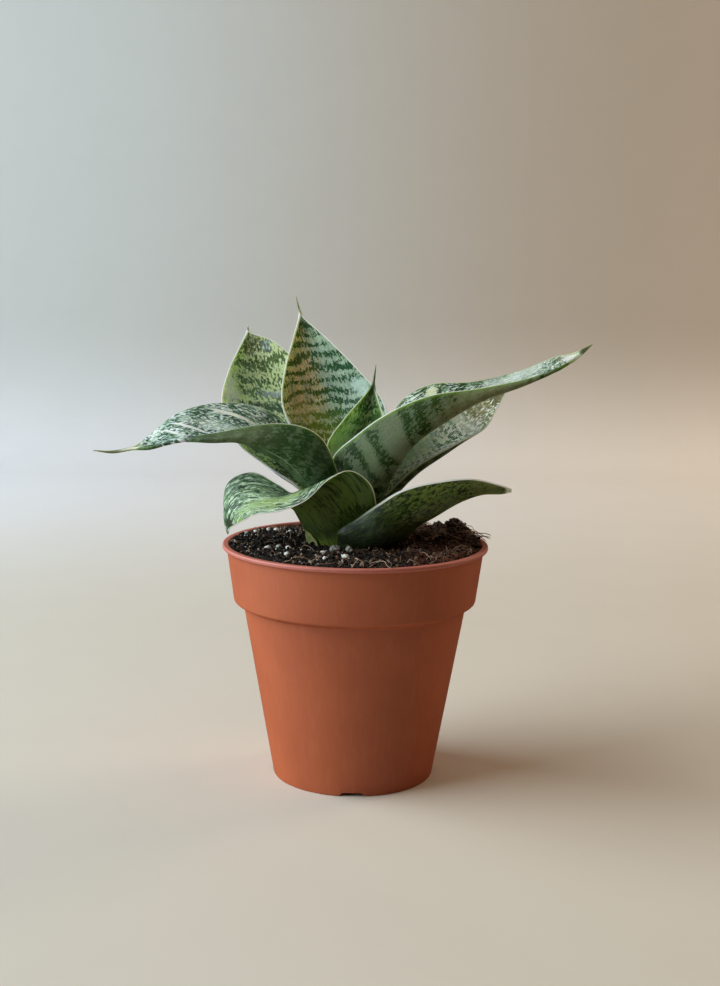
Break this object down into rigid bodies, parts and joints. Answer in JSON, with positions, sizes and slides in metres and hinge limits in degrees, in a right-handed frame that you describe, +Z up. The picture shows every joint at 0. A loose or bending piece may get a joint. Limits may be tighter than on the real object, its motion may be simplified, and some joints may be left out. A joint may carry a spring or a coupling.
{
  "type": "potted snake plant",
  "caption": "Dwarf bird's-nest snake plant with stiff channelled, cream-edged leaves in a terracotta-coloured plastic nursery pot filled to the rim with gritty potting mix.",
  "frame": {"origin": "centre of the pot's underside, on the face it stands on", "axes": "+X to the right seen from the front, +Y away from the viewer, +Z up out of the pot"},
  "size_m": [0.1947, 0.105, 0.1895],
  "materials": {
    "pot_plastic": "satin terracotta-coloured moulded plastic",
    "potting_mix": "rough crumbly peat and coir mix",
    "crown": "dull fibrous rhizome",
    "leaf_mid": "waxy green leaf with grey-green bands and cream margins",
    "leaf_dark": "waxy dark green leaf with wavy cross bands and cream margins",
    "leaf_pale": "waxy pale green leaf with a silvery bloom and cream margins",
    "scale": "papery pale green-yellow scale leaf",
    "perlite": "rough white expanded grain",
    "grit": "dull grey grit",
    "bark": "rough brown bark"
  },
  "bodies": {
    "root": {"pot": "pot_plastic", "soil": "potting_mix", "rhizome_crown": "crown", "leaf_centre_young": "leaf_mid", "leaf_long_right": "leaf_mid", "leaf_long_left": "leaf_mid", "leaf_back_tall": "leaf_dark", "leaf_back_left": "leaf_pale", "leaf_rear_right": "leaf_pale", "leaf_low_left": "leaf_mid", "leaf_low_right": "leaf_dark", "basal_scale": "scale", "perlite_01": "perlite", "perlite_02": "perlite", "perlite_03": "perlite", "perlite_04": "perlite", "perlite_05": "perlite", "perlite_06": "perlite", "perlite_07": "perlite", "perlite_08": "perlite", "perlite_09": "perlite", "perlite_10": "perlite", "perlite_11": "perlite", "perlite_12": "perlite", "chip_01": "grit", "chip_02": "grit", "chip_03": "bark", "chip_04": "bark"}
  },
  "joints": []
}
